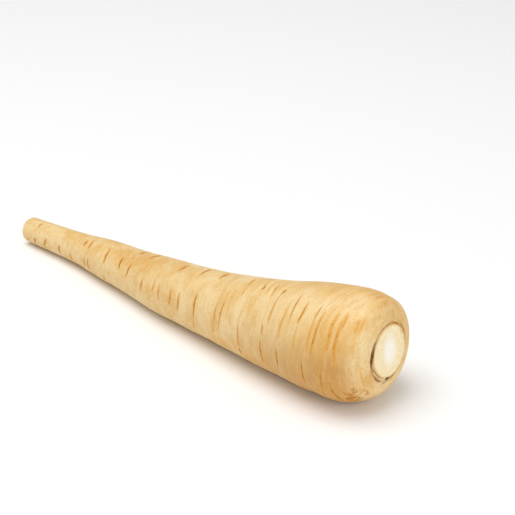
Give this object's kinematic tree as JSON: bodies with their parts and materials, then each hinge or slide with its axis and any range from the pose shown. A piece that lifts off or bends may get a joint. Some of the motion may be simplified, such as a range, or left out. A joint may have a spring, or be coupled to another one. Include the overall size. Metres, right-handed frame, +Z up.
{
  "type": "parsnip",
  "caption": "Whole parsnip root lying on its side, tapering to a trimmed tail, with a full shoulder and a flat-cut crown stub in a shallow groove.",
  "frame": {"origin": "on the surface that the root lies on, under the centre of its bounding box", "axes": "+X from the trimmed tail to the cut crown, +Z up, +Y to the left when looking from the tail to the crown; the root's bow is towards -Y"},
  "size_m": [0.2418, 0.052, 0.0516],
  "materials": {
    "skin": "satin"
  },
  "bodies": {
    "root": {"taproot": "skin"}
  },
  "joints": []
}
